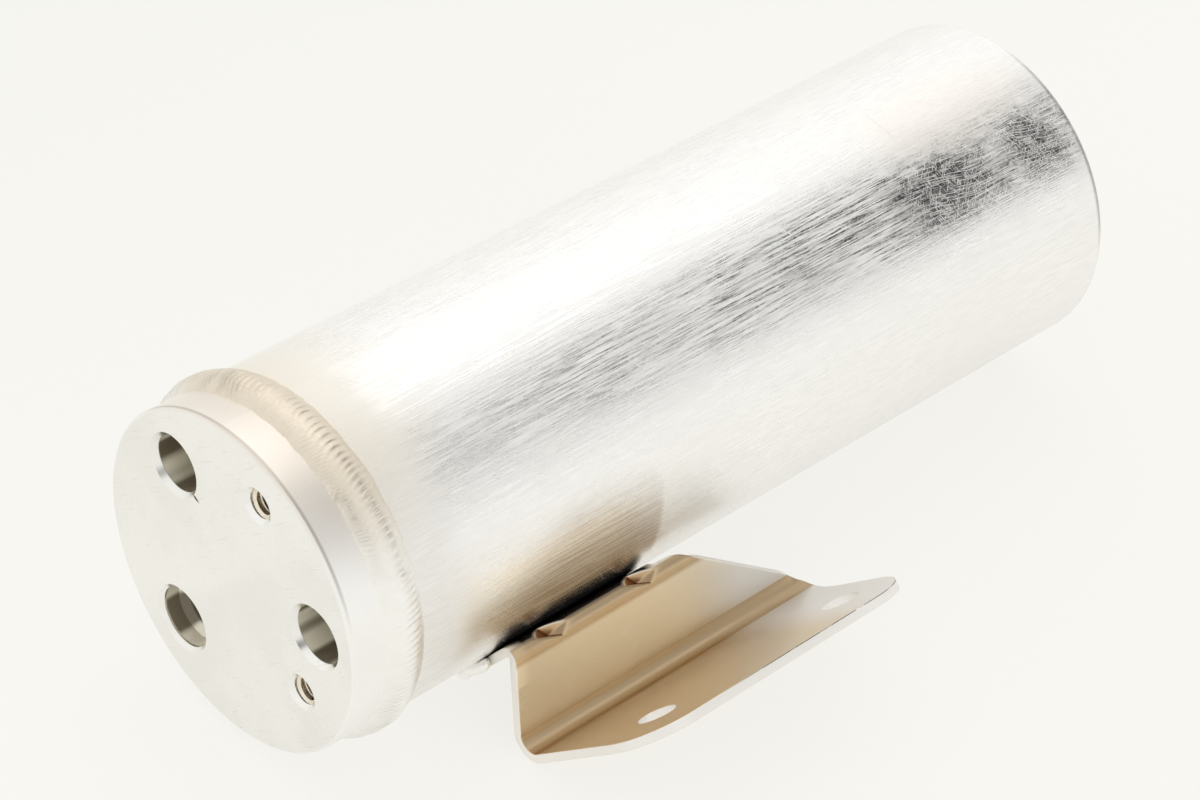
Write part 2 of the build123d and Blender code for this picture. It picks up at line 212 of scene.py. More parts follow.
streaks, gi, go = new_group(
    "streaks",
    [("Vector", VECTOR, None), ("Along", VALUE, 110.0), ("Across", VALUE, 1500.0), ("Low", VALUE, 0.5),
     ("High", VALUE, 0.64)],
    [("Streak", VALUE)],
)
stretch = add_node(streaks, "ShaderNodeCombineXYZ", {"X": gi["Along"], "Y": gi["Across"], "Z": gi["Across"]})
pulled = vector_node(streaks, "MULTIPLY", gi["Vector"], stretch.outputs[0])
grain = add_node(streaks, "ShaderNodeTexNoise", {"Vector": pulled, "Scale": 1.0, "Detail": 2.0})
streaks.links.new(ramp(streaks, grain.outputs[0], gi["Low"], gi["High"]), go["Streak"])
print("group", streaks.name)

# %% Scratches
DRIFT, TIP_RANGE = 0.003, 0.05
scratches, gi, go = new_group(
    "scratches",
    [("Vector", VECTOR, None), ("Turn", VALUE, 0.5), ("Length", VALUE, 0.007), ("Width", VALUE, 0.0003),
     ("Rarity", VALUE, 0.68)],
    [("Scratch", VALUE)],
)
drift = add_node(scratches, "ShaderNodeTexNoise", {"Vector": gi["Vector"], "Scale": 60.0, "Detail": 1.0})
drift = vector_node(scratches, "MULTIPLY", drift.outputs["Color"], (DRIFT, DRIFT, DRIFT))
moved = vector_node(scratches, "ADD", gi["Vector"], drift)
rotation = {"Vector": moved, "Angle": gi["Turn"]}
turned = add_node(scratches, "ShaderNodeVectorRotate", rotation, rotation_type="Z_AXIS")
size = add_node(scratches, "ShaderNodeCombineXYZ", {"X": gi["Length"], "Y": gi["Width"], "Z": 1.0})
pulled = vector_node(scratches, "DIVIDE", turned.outputs[0], size.outputs[0])
tips = add_node(scratches, "ShaderNodeTexNoise", {"Vector": pulled, "Scale": 1.0, "Detail": 0.0})
rare = math_node(scratches, "ADD", gi["Rarity"], TIP_RANGE)
scratches.links.new(ramp(scratches, tips.outputs[0], gi["Rarity"], rare), go["Scratch"])
print("group", scratches.name)

# %% Mottle
mottle, gi, go = new_group(
    "mottle", [("Vector", VECTOR, None), ("Scale", VALUE, 30.0)], [("Cloud", VALUE), ("Fine", VALUE)]
)
billows = {"Vector": gi["Vector"], "Scale": gi["Scale"], "Detail": 5.0, "Roughness": 0.6}
cloud = add_node(mottle, "ShaderNodeTexNoise", billows)
speck = add_node(mottle, "ShaderNodeTexNoise", {"Vector": gi["Vector"], "Scale": 1400.0, "Detail": 2.0})
mottle.links.new(ramp(mottle, cloud.outputs[0], 0.32, 0.68), go["Cloud"])
mottle.links.new(speck.outputs[0], go["Fine"])
print("group", mottle.name)

# %% Heat tint
WELD_X = 10.3 * MM
TINT_WANDER = 0.02
heat, gi, go = new_group(
    "heat tint",
    [("Vector", VECTOR, None), ("Metal", COLOUR, None), ("Tint", COLOUR, (0.80, 0.70, 0.60, 1)),
     ("Reach", VALUE, 0.018), ("Amount", VALUE, 1.0)],
    [("Colour", COLOUR)],
)
place = add_node(heat, "ShaderNodeSeparateXYZ", {0: gi["Vector"]}).outputs
distance = math_node(heat, "ABSOLUTE", math_node(heat, "SUBTRACT", place["X"], WELD_X))
edge_noise = add_node(heat, "ShaderNodeTexNoise", {"Vector": gi["Vector"], "Scale": 45.0, "Detail": 3.0})
distance = plus(heat, distance, math_node(heat, "SUBTRACT", edge_noise.outputs[0], 0.5), TINT_WANDER)
warmth = times(heat, ramp(heat, distance, 0.002, gi["Reach"], 1.0, 0.0), gi["Amount"])
upper = ramp(heat, place["Z"], 0.012, 0.03, 0.06, 1.0)
warmth = math_node(heat, "MULTIPLY", warmth, upper, clamp=True)
heat.links.new(blend_colour(heat, warmth, gi["Metal"], gi["Tint"]), go["Colour"])
print("group", heat.name)

# %% Spots
spots, gi, go = new_group(
    "spot",
    [("Vector", VECTOR, None), ("Middle", VECTOR, None), ("Half Size", VECTOR, None), ("Wander", VALUE, 0.0)],
    [("Spot", VALUE)],
)
away = vector_node(spots, "SUBTRACT", gi["Vector"], gi["Middle"])
away = vector_node(spots, "LENGTH", vector_node(spots, "DIVIDE", away, gi["Half Size"]))
ragged = {"Vector": gi["Vector"], "Scale": 200.0, "Detail": 5.0, "Roughness": 0.75}
ragged = add_node(spots, "ShaderNodeTexNoise", ragged).outputs[0]
away = plus(spots, away, math_node(spots, "SUBTRACT", ragged, 0.5), gi["Wander"])
spots.links.new(fall(spots, away, 0.35, 1.15), go["Spot"])
print("group", spots.name)


def spot(tree, flat, middle, half_size, wander=0.0):
    """A soft round mask on a flattened surface: 1 at the middle, 0 at the given half sizes."""
    sizes = {"Middle": (*middle, 0), "Half_Size": (*half_size, 1)}
    return use_group(tree, spots, Vector=flat, Wander=wander, **sizes)["Spot"]


# %% [markdown]
# ## The finishes
# Each metal is a Principled shader. What changes over the surface is its colour, its roughness
# and a bump, and the groups above supply those. Metallic stays at 1 but for two places, where a
# true metal would come out too dark: deep in the header's bores, where a renderer stops following
# the light after a few bounces, and at the pale end of the bracket's flange.

# %% A metal to start from
def new_metal(name):
    """A material with its node tree, its shader and object coordinates."""
    material = bpy.data.materials.new(name)
    material.use_nodes = True
    tree = material.node_tree
    shader = tree.nodes["Principled BSDF"]
    shader.inputs["Metallic"].default_value = 1.0
    coordinates = tree.nodes.new("ShaderNodeTexCoord").outputs["Object"]
    return material, tree, shader, coordinates


def finish_metal(tree, shader, colour, roughness, height, bump):
    """Wires the three varying layers to the shader."""
    relief = add_node(tree, "ShaderNodeBump", {"Height": height, "Strength": 1.0, "Distance": bump})
    tree.links.new(colour, shader.inputs["Base Color"])
    tree.links.new(roughness, shader.inputs["Roughness"])
    tree.links.new(relief.outputs[0], shader.inputs["Normal"])


# %% [markdown]
# ### The can
# The can is drawn from a slug and then brushed along its length. Its skin is frosted, which on
# its own would blur the dark side of the room away. What shows in the grey band are thousands of
# short polished dashes along the can, each a few millimetres long. Turn is the angle round the
# can, 0 at its top and negative on the bracket's side. The flattened skin has x along the can and
# the arc round it as y, so that a spot can be placed on it as on a sheet of paper.

# %% The can's skin
CAN_R = 0.03
can_metal, tree, shader, at = new_metal("drawn_can")
place = add_node(tree, "ShaderNodeSeparateXYZ", {0: at}).outputs
turn = math_node(tree, "ARCTAN2", place["Y"], place["Z"])
flat = add_node(tree, "ShaderNodeCombineXYZ", {"X": place["X"], "Y": times(tree, turn, CAN_R)}).outputs[0]
dash = use_group(tree, streaks, Vector=at, Along=80.0, Across=3300.0, Low=0.43, High=0.56)["Streak"]
fine_dash = use_group(tree, streaks, Vector=at, Along=210.0, Across=5200.0, Low=0.42, High=0.58)["Streak"]
cloud = use_group(tree, mottle, Vector=at, Scale=38.0)["Cloud"]
gathered = use_group(tree, mottle, Vector=at, Scale=75.0)["Cloud"]
gathered = ramp(tree, gathered, 0.15, 0.7, 0.7, 1.0)
rough = ramp(tree, cloud, 0.0, 1.0, 0.58, 0.68)
rough = plus(tree, rough, times(tree, dash, gathered), -0.34)
rough = plus(tree, rough, times(tree, fine_dash, gathered), -0.19)

# %% [markdown]
# The skin isn't equally rough all over. Beside the bracket it was rubbed nearly to a mirror, so
# it shows the bracket's tan, and the rest of the can's low side is half as smooth. Near the weld
# it was wire-brushed dull. Past about 135 mm it is smoother, with two polished patches that are
# crossed by fine scratches in every direction.

# %% Its low side and its brushed start
beside = window(tree, place["X"], (0.022, 0.034), (0.0645, 0.0665))
mirror = times(tree, ramp(tree, turn, radians(-62), radians(-80)), beside, 0.9)
rough = blend_value(tree, mirror, rough, 0.14)
low_side = ramp(tree, turn, radians(-50), radians(-62))
rough = blend_value(tree, times(tree, low_side, 0.75), rough, 0.3)
brushed_dull = fall(tree, place["X"], 0.018, 0.027)
rough = blend_value(tree, brushed_dull, rough, 0.66)

# %% Its far end
PATCHES = (  # place along the can, turn, half its length, half its arc, strength
    (0.1405, -41, 0.0145, 0.0105, 0.95),
    (0.1635, -43, 0.0080, 0.0115, 0.75),
)
NICKS = (  # turn, length, width, rarity
    (0.15, 0.0045, 0.00016, 0.62),
    (1.3, 0.0018, 0.00014, 0.66),
    (2.4, 0.0022, 0.00014, 0.67),
)
smoother = ramp(tree, place["X"], 0.128, 0.138)
rough = blend_value(tree, times(tree, smoother, 0.6), rough, 0.34)
nicks = None
for turn_by, length, width, rarity in NICKS:
    layer = use_group(tree, scratches, Vector=flat, Turn=turn_by, Length=length, Width=width, Rarity=rarity)
    layer = layer["Scratch"]
    nicks = layer if nicks is None else math_node(tree, "MAXIMUM", nicks, layer)
for x, turned_to, half_length, half_arc, strength in PATCHES:
    patch = spot(tree, flat, (x, radians(turned_to) * CAN_R), (half_length, half_arc), wander=1.7)
    patch = times(tree, patch, strength, ramp(tree, dash, 0.0, 1.0, 0.8, 1.0))
    rough = blend_value(tree, patch, rough, 0.12)
rough = plus(tree, rough, times(tree, nicks, smoother), 0.18)
lone = use_group(tree, scratches, Vector=flat, Turn=0.9, Length=0.009, Width=0.0003, Rarity=0.74)["Scratch"]
rough = plus(tree, rough, lone, 0.2, clamp=True)

# %% [markdown]
# The colour is nearly even: a grey that is a little darker in the dashes, cloudy, with a faint
# blush near the far end and the straw tint by the weld. A thin ring near the far end is a mark of
# the tools, and the dark line on the far rim is a painted reflection. Beside the bracket the skin
# is painted a darker tan, a painted reflection of the bracket, and where the bracket's saddle
# nearly touches it, the crevice is painted black as shade.

# %% Its colour
grey = blend_colour(tree, fine_dash, (0.995, 0.985, 0.962, 1), (0.93, 0.92, 0.895, 1))
grey = blend_colour(tree, ramp(tree, cloud, 0.0, 1.0, 0.0, 0.45), grey, (0.96, 0.945, 0.92, 1))
blush = spot(tree, flat, (0.150, radians(-14) * CAN_R), (0.024, 0.010), wander=0.5)
grey = blend_colour(tree, times(tree, blush, 0.6), grey, (0.97, 0.91, 0.85, 1))
warm = use_group(tree, heat, Vector=at, Metal=grey, Tint=(0.90, 0.85, 0.77, 1), Reach=0.024, Amount=0.9)
warm = warm["Colour"]

# %% Its ring and its far rim
RING_X = 0.1383
ring = math_node(tree, "ABSOLUTE", math_node(tree, "SUBTRACT", place["X"], RING_X))
ring_turns = window(tree, turn, (radians(-20), radians(-14)), (radians(-4), radians(2)))
ring = times(tree, fall(tree, ring, 0.0001, 0.0004), gathered, ring_turns, 0.25)
warm = blend_colour(tree, ring, warm, (0.75, 0.73, 0.70, 1))
# Painted reflection: a dark line along the far rim's edge, for something dark mirrored in it.
at_end = ramp(tree, place["X"], 0.1722, 0.1729)
at_edge = ramp(tree, off_axis(tree, place), 0.0293, 0.0297)
rim_turns = window(tree, turn, (radians(-88), radians(-70)), (radians(-24), radians(0)))
far_rim_reflection = times(tree, at_end, at_edge, rim_turns, gathered, 0.6)
warm = blend_colour(tree, far_rim_reflection, warm, (0.2, 0.195, 0.19, 1))

# %% Its painted reflection and its painted crevice shade
CREVICE_TURN = radians(-119)
# Painted reflection: the skin beside the bracket is painted a darker tan, for the bracket mirrored in it.
bracket_reflection = spot(tree, flat, (0.0500, radians(-99) * CAN_R), (0.0240, radians(31) * CAN_R), wander=0.25)
bracket_reflection = times(tree, bracket_reflection, fall(tree, place["X"], 0.0645, 0.0658))
bracket_reflection = times(tree, bracket_reflection, ramp(tree, turn, radians(-113), radians(-106)))
bracket_reflection = times(tree, bracket_reflection, ramp(tree, dash, 0.0, 1.0, 0.65, 1.0))
reflected_tan = blend_colour(tree, 1.0, warm, (0.54, 0.48, 0.42, 1), how="MULTIPLY")
warm = blend_colour(tree, bracket_reflection, warm, reflected_tan)
# Painted shade: the crevice beside the saddle is painted nearly black.
can_crevice_black = fall(tree, turn, CREVICE_TURN, CREVICE_TURN + radians(2))
can_crevice_black = times(tree, can_crevice_black, window(tree, place["X"], (0.034, 0.036), (0.0645, 0.0655)))
warm = blend_colour(tree, can_crevice_black, warm, (0.01, 0.008, 0.006, 1))
relief = math_node(tree, "SUBTRACT", plus(tree, dash, fine_dash, 0.5), nicks)
finish_metal(tree, shader, warm, rough, relief, bump=0.000008)
print(can_metal.name, len(tree.nodes), "nodes")

# %% [markdown]
# ### The header
# The header is turned from bar. Its face carries faint rings about the axis, a few clouds and
# scratches. Its wall takes the straw tint of the weld. Its bores were reamed, and they carry a
# painted reflection: bright and dark bands run along them, which a two-dimensional noise of y and
# z draws, since it doesn't change along the bore. A dark line lies under the rim, and one dark
# spot beside the outlet.

# %% Header finish
RINGS = 5200.0
header_metal, tree, shader, at = new_metal("turned_header")
place = add_node(tree, "ShaderNodeSeparateXYZ", {0: at}).outputs
radius = off_axis(tree, place)
turned_rings = {"W": radius, "Scale": RINGS, "Detail": 2.0}
rings = add_node(tree, "ShaderNodeTexNoise", turned_rings, noise_dimensions="1D").outputs[0]
facing = add_node(tree, "ShaderNodeCombineXYZ", {"X": place["Y"], "Y": place["Z"]}).outputs[0]
cloud = use_group(tree, mottle, Vector=at, Scale=55.0)["Cloud"]
marks = use_group(tree, scratches, Vector=facing, Turn=0.7, Length=0.006, Width=0.0003, Rarity=0.72)
marks = marks["Scratch"]
on_wall = ramp(tree, radius, 0.02915, 0.0294)
rough = plus(tree, ramp(tree, cloud, 0.0, 1.0, 0.2, 0.32), marks, 0.15)
rough = blend_value(tree, on_wall, rough, ramp(tree, cloud, 0.0, 1.0, 0.34, 0.46))
tone = blend_colour(tree, cloud, (0.925, 0.915, 0.875, 1), (0.895, 0.885, 0.84, 1))
tone = blend_colour(tree, times(tree, marks, 0.3), tone, (0.8, 0.79, 0.76, 1))
wall = {"Metal": (0.99, 0.985, 0.96, 1), "Tint": (0.83, 0.75, 0.66, 1)}
tinted = use_group(tree, heat, Vector=at, Reach=0.02, Amount=0.9, **wall)["Colour"]
tone = blend_colour(tree, on_wall, tone, tinted)

# %% Its bores
inside = math_node(tree, "SUBTRACT", 1.0, on_wall)
deep = times(tree, ramp(tree, place["X"], 0.0009, 0.0012), inside)
# Painted reflection: the bores' bright and dark bands stand for the room mirrored in them.
bands = {"Vector": facing, "Scale": 250.0, "Detail": 0.0}
bands = add_node(tree, "ShaderNodeTexNoise", bands, noise_dimensions="2D").outputs[0]
bands = ramp(tree, bands, 0.40, 0.60)
bore = blend_colour(tree, bands, (0.20, 0.17, 0.12, 1), (1.0, 0.95, 0.80, 1))
tone = blend_colour(tree, deep, tone, bore)
rough = blend_value(tree, deep, rough, 0.22)
tree.links.new(ramp(tree, deep, 0.0, 1.0, 1.0, 0.2), shader.inputs["Metallic"])

# %% Its rim and its dark spot
FROM_OUTLET = Vector((0, -0.0052, -0.0036))
lip = times(tree, window(tree, place["X"], (0.0003, 0.0006), (0.0008, 0.0012)), on_wall)
lip = times(tree, lip, ramp(tree, place["Z"], 0.008, 0.02, 0.0, 0.6))
tone = blend_colour(tree, lip, tone, (0.42, 0.37, 0.31, 1))
# One small dark spot is painted beside the outlet.
dark_spot_at = Vector(mounts["outlet_port"]["pos_m"]) + TO_TABLE.to_3x3() @ FROM_OUTLET
from_dark_spot = vector_node(tree, "SUBTRACT", facing, (dark_spot_at.y, dark_spot_at.z, 0))
rotation = {"Vector": from_dark_spot, "Angle": radians(-28)}
from_dark_spot = add_node(tree, "ShaderNodeVectorRotate", rotation, rotation_type="Z_AXIS").outputs[0]
dark_spot = times(tree, spot(tree, from_dark_spot, (0, 0), (0.0010, 0.00035)), fall(tree, place["X"], 0.0, 0.0003))
tone = blend_colour(tree, dark_spot, tone, (0.10, 0.06, 0.05, 1))
relief = math_node(tree, "SUBTRACT", times(tree, rings, 0.5), marks)
finish_metal(tree, shader, tone, rough, relief, bump=0.000004)
print(header_metal.name, len(tree.nodes), "nodes")

# %% [markdown]
# ### Tapped threads
# A tap leaves bright flanks. Light bounces many times between them, so they look golden.

# %% Thread finish
thread_metal, tree, shader, at = new_metal("tapped_thread")
clouds = use_group(tree, mottle, Vector=at, Scale=700.0)
tone = blend_colour(tree, clouds["Cloud"], (0.88, 0.82, 0.70, 1), (0.80, 0.72, 0.58, 1))
rough = ramp(tree, clouds["Fine"], 0.3, 0.7, 0.14, 0.24)
finish_metal(tree, shader, tone, rough, clouds["Fine"], bump=0.000002)
print(thread_metal.name, len(tree.nodes), "nodes")

# %% [markdown]
# ### Weld metal
# Weld metal freezes with a dull, slightly grainy skin, and the heat leaves it straw coloured.

# %% Weld finish
weld_metal, tree, shader, at = new_metal("weld_metal")
clouds = use_group(tree, mottle, Vector=at, Scale=150.0)
tone = blend_colour(tree, clouds["Cloud"], (1.0, 0.99, 0.96, 1), (0.98, 0.965, 0.925, 1))
tone = use_group(tree, heat, Vector=at, Metal=tone, Tint=(0.76, 0.66, 0.52, 1), Reach=0.016, Amount=0.8)
tone = tone["Colour"]
rough = ramp(tree, clouds["Fine"], 0.3, 0.7, 0.4, 0.54)
finish_metal(tree, shader, tone, rough, clouds["Fine"], bump=0.00001)
print(weld_metal.name, len(tree.nodes), "nodes")

# %% [markdown]
# ### The bracket's sheet
# The sheet is a warmer alloy with its mill grain along the can. Light caught between the web and
# the flange bounces several times, and each bounce deepens the colour to tan. A few pale scratches
# cross it. Where it nearly touches the can, it is painted black as shade. The sheared edge is a
# torn, pale surface. Five attributes that the mesh carries from its flat blank tell the material
# where it is: the place on the blank, the painted crevice shade, the sheared edge, the painted
# shade and reflection in the bends and darts, which is tan, then copper, then nearly black, and
# the burr along the flange's edge.

# %% Sheet finish
sheet_metal, tree, shader, _ = new_metal("bracket_sheet")


def painted(name, output="Fac"):
    """An attribute that the bracket's mesh carries."""
    return add_node(tree, "ShaderNodeAttribute", attribute_name=name).outputs[output]


blank_at = painted("blank", "Vector")
crevice_shade, sheared, fold_shade, burr = painted("crevice_shade"), painted("sheared"), painted("fold_shade"), painted("burr")
strip = add_node(tree, "ShaderNodeSeparateXYZ", {0: blank_at}).outputs
on_flange = ramp(tree, strip["Y"], 0.0245, 0.0285)
right_end = times(tree, ramp(tree, strip["X"], 0.070, 0.088), on_flange)
mill = use_group(tree, streaks, Vector=blank_at, Along=60.0, Across=2600.0, Low=0.3, High=0.7)["Streak"]
clouds = use_group(tree, mottle, Vector=blank_at, Scale=70.0)
marks, more = [
    use_group(tree, scratches, Vector=blank_at, Turn=by, Length=long, Width=0.00018, Rarity=rare)["Scratch"]
    for by, long, rare in ((0.5, 0.004, 0.76), (2.7, 0.005, 0.77))
]
marks = math_node(tree, "MAXIMUM", marks, more)
rough = plus(tree, ramp(tree, mill, 0.0, 1.0, 0.3, 0.38), marks, 0.15)
rough = blend_value(tree, sheared, rough, 0.6)

# %% Its colour
tone = blend_colour(tree, clouds["Cloud"], (1.0, 0.955, 0.87, 1), (0.94, 0.87, 0.765, 1))
tone = blend_colour(tree, on_flange, tone, (0.91, 0.81, 0.65, 1))
# Painted reflection: the flange's right end is painted paler and less metallic, for the white room mirrored
# in it.
tone = blend_colour(tree, right_end, tone, (0.90, 0.885, 0.86, 1))
tone = blend_colour(tree, marks, tone, (0.97, 0.93, 0.86, 1))
# Painted shade and reflection in the bends and darts: tan shade, a copper reflection of the tan flank, then a
# nearly black valley.
for low, high, colour in (
    (0.0, 0.2, (0.60, 0.45, 0.28, 1)),
    (0.3, 0.55, (0.30, 0.135, 0.055, 1)),
    (0.6, 0.95, (0.03, 0.012, 0.006, 1)),
):
    tone = blend_colour(tree, ramp(tree, fold_shade, low, high), tone, colour)
tone = blend_colour(tree, sheared, tone, (0.96, 0.94, 0.90, 1))
# Painted shade: black where the sheet nearly touches the can.
tone = blend_colour(tree, crevice_shade, tone, (0.012, 0.009, 0.007, 1))
torn = add_node(tree, "ShaderNodeTexNoise", {"Vector": blank_at, "Scale": 320.0, "Detail": 3.0}).outputs[0]
burr = times(tree, ramp(tree, burr, 0.1, 0.6), ramp(tree, torn, 0.36, 0.5))
burr = times(tree, burr, ramp(tree, strip["X"], 0.048, 0.062))
tone = blend_colour(tree, burr, tone, (0.10, 0.085, 0.07, 1))
relief = math_node(tree, "SUBTRACT", math_node(tree, "ADD", mill, clouds["Fine"]), marks)
finish_metal(tree, shader, tone, rough, relief, bump=0.000004)
tree.links.new(ramp(tree, right_end, 0.0, 1.0, 1.0, 0.4), shader.inputs["Metallic"])
shader.inputs["Specular Tint"].default_value = (0.79, 0.73, 0.67, 1)
print(sheet_metal.name, len(tree.nodes), "nodes")

# %% [markdown]
# ### What is inside
# The can is closed, so none of this shows, but a cut-open view would: steel plates and their
# spring, a drawn tube with its ring, felt pads, a bed of fired beads, and a nylon cage that holds
# a woven screen. The beads and the weave are small enough for a pattern to stand for them.


# %% Inner metals
def inner_metal(name, tone, worn, roughness, along, across):
    """A plain drawn or rolled metal: stretched grain, a few clouds and no more."""
    material, tree, shader, at = new_metal(name)
    grain = use_group(tree, streaks, Vector=at, Along=along, Across=across, Low=0.35, High=0.65)["Streak"]
    clouds = use_group(tree, mottle, Vector=at, Scale=60.0)
    colour = blend_colour(tree, clouds["Cloud"], (*tone, 1), (*worn, 1))
    rough = ramp(tree, grain, 0.0, 1.0, roughness, roughness + 0.12)
    finish_metal(tree, shader, colour, rough, grain, bump=0.000004)
    print(name, len(tree.nodes), "nodes")
    return material


tube_metal = inner_metal("drawn_tube", (0.82, 0.82, 0.81), (0.74, 0.73, 0.72), 0.25, 90.0, 1800.0)
plate_metal = inner_metal("pressed_plate", (0.62, 0.62, 0.63), (0.52, 0.51, 0.51), 0.32, 240.0, 700.0)
spring_metal = inner_metal("plated_wire", (0.66, 0.67, 0.70), (0.55, 0.56, 0.57), 0.24, 500.0, 500.0)


# %% Inner soft, fired and moulded things
def inner_stuff(name, tone, other, roughness, scale, bump, cells=False):
    """Felt is tangled noise, beads are rounded cells, and moulded nylon is nearly smooth."""
    material, tree, shader, at = new_metal(name)
    shader.inputs["Metallic"].default_value = 0.0
    if cells:
        grains = add_node(tree, "ShaderNodeTexVoronoi", {"Vector": at, "Scale": scale})
        height = ramp(tree, grains.outputs["Distance"], 0.0, 0.7, 1.0, 0.0)
    else:
        grains = add_node(tree, "ShaderNodeTexNoise", {"Vector": at, "Scale": scale, "Detail": 6.0})
        height = grains.outputs[0]
    colour = blend_colour(tree, height, (*other, 1), (*tone, 1))
    rough = ramp(tree, height, 0.0, 1.0, roughness + 0.08, roughness)
    finish_metal(tree, shader, colour, rough, height, bump)
    print(name, len(tree.nodes), "nodes")
    return material


felt = inner_stuff("needled_felt", (0.80, 0.77, 0.68), (0.55, 0.52, 0.45), 0.88, 1600.0, 0.0004)
# The beads' cells are painted dark at their edges: painted shade between the beads.
beads = inner_stuff("fired_beads", (0.66, 0.47, 0.30), (0.20, 0.12, 0.07), 0.6, 520.0, 0.0008, cells=True)
nylon = inner_stuff("moulded_nylon", (0.82, 0.79, 0.70), (0.76, 0.73, 0.63), 0.45, 300.0, 0.00003)

# %% Woven screen
HOOPS, STAVES = 2600.0, 160.0
screen_metal, tree, shader, at = new_metal("woven_screen")
place = add_node(tree, "ShaderNodeSeparateXYZ", {0: at}).outputs
turn = math_node(tree, "ARCTAN2", place["Y"], place["Z"])
hoops = math_node(tree, "SINE", times(tree, place["X"], HOOPS * 2 * pi))
staves = math_node(tree, "SINE", times(tree, turn, STAVES))
weave = ramp(tree, times(tree, hoops, staves), -1.0, 1.0)
colour = blend_colour(tree, weave, (0.25, 0.25, 0.26, 1), (0.66, 0.66, 0.67, 1))
finish_metal(tree, shader, colour, ramp(tree, weave, 0.0, 1.0, 0.5, 0.3), weave, bump=0.00005)
print(screen_metal.name, len(tree.nodes), "nodes")

# %% Dress the CAD pieces that stay
for name, material in (
    ("can", can_metal),
    ("header", header_metal),
    ("bracket_weld_rear", weld_metal),
    ("bracket_weld_edge", weld_metal),
    ("pickup_tube", tube_metal),
    ("tube_push_ring", tube_metal),
    ("upper_plate", plate_metal),
    ("lower_plate", plate_metal),
    ("hold_down_spring", spring_metal),
    ("upper_filter_pad", felt),
    ("lower_filter_pad", felt),
    ("desiccant_bed", beads),
    ("strainer_cage", nylon),
    ("strainer_screen", screen_metal),
):
    node = frame["nodes"][name]
    node.data.materials.clear()
    node.data.materials.append(material)
    print(name, "wears", material.name)

# %% [markdown]
# ## The closing weld
# The bead that joins can and header froze in small crescents, like a row of fallen coins. A bump
# map would leave its outline smooth, so the ripples are real: the bead's section is spun about
# the axis in fine steps, and each point is then moved outwards by the height of its crescent.

# %% The bead's section
CAN_RADIUS = 30.0
HEADER_RADIUS = 29.7
BEAD_START, BEAD_END, BEAD_CROWN = 6.4, 14.2, 1.75
TOE_SINK, ROOT_INSET, ROOT_DEPTH = 0.12, 2.0, 1.2
SECTION_POINTS, BEAD_STEPS = 18, 1440
RIPPLES, RIPPLE_HEIGHT, RIPPLE_SWEEP = 168, 0.2, 3.0


def bead_radius(u):
    """The smooth crown: u runs from -1 at the header's side to 1 at the can's side."""
    toe = HEADER_RADIUS + (CAN_RADIUS - HEADER_RADIUS) * (u + 1) / 2 - TOE_SINK
    return toe + BEAD_CROWN * (1 - abs(u) ** 2.1)


bm = bmesh.new()
chain = []
for i in range(SECTION_POINTS + 1):
    u = -cos(pi * i / SECTION_POINTS)
    x = BEAD_START + (BEAD_END - BEAD_START) * (u + 1) / 2
    chain.append(bm.verts.new((x, 0, bead_radius(u))))
for x in (BEAD_END - ROOT_INSET, BEAD_START + ROOT_INSET):
    chain.append(bm.verts.new((x, 0, HEADER_RADIUS - ROOT_DEPTH)))
for a, b in zip(chain, chain[1:] + chain[:1]):
    bm.edges.new((a, b))
bmesh.ops.spin(
    bm, geom=bm.verts[:] + bm.edges[:], cent=(0, 0, 0), axis=(1, 0, 0), angle=2 * pi, steps=BEAD_STEPS,
    use_merge=True,
)
print("bead before its ripples:", len(bm.faces), "faces")

# %% Its ripples
for vert in bm.verts:
    x, y, z = vert.co
    u = (x - BEAD_START) / (BEAD_END - BEAD_START) * 2 - 1
    if hypot(y, z) < HEADER_RADIUS - ROOT_DEPTH / 2:
        continue
    around = atan2(z, y)
    wobble = noise.noise(Vector((cos(around) * 12, sin(around) * 12, u * 0.7)))
    slow = noise.noise(Vector((cos(around) * 3, sin(around) * 3, 5)))
    swept = RIPPLE_SWEEP * max(0.0, (0.5 - u) / 1.5) ** 2.5
    phase = around / (2 * pi) * RIPPLES - swept + 0.5 * wobble + slow
    into_ripple = phase % 1.0
    crescent = min(into_ripple / 0.75, (1 - into_ripple) / 0.25)
    zone = max(0.0, 1 - abs((u + 0.1) / 0.9) ** 4)
    lift = RIPPLE_HEIGHT * (crescent - 0.5) * zone * (1 + 0.8 * wobble + 0.6 * slow)
    lift += (0.1 * slow + 0.05 * wobble) * (1 - u * u)
    vert.co += Vector((0, y, z)).normalized() * lift
    vert.co.x += (0.3 * wobble + 0.12 * (crescent - 0.5)) * u * abs(u) ** 3
bmesh.ops.recalc_face_normals(bm, faces=bm.faces)
closing_weld = place_piece(bm, "rippled_weld", weld_metal, ["closing_weld"], sharp=75)

# %% [markdown]
# ## The bracket, folded from its blank
# A press would cut this bracket as a flat blank and then fold it, and so does this cell. The blank
# is drawn with x along the can and s along the strip, from the foot of the saddle to the flange's
# outer edge. Its corners are rounded by a vertex bevel, its holes are circles, and one extrusion
# gives it its thickness. Many straight cuts then give the mesh edges to bend at.

# %% The strip's section
SHEET = 1.6
SADDLE_FOOT, HAIRPIN_ANGLE, WEB_LEAN, WEB_RUN = -104.0, -148.1, 3.0, 14.0
HAIRPIN_INNER, STANDOFF, SADDLE_GAP, BEND_INNER, FLANGE = 0.4, 0.65, 0.1, 2.4, 35.5

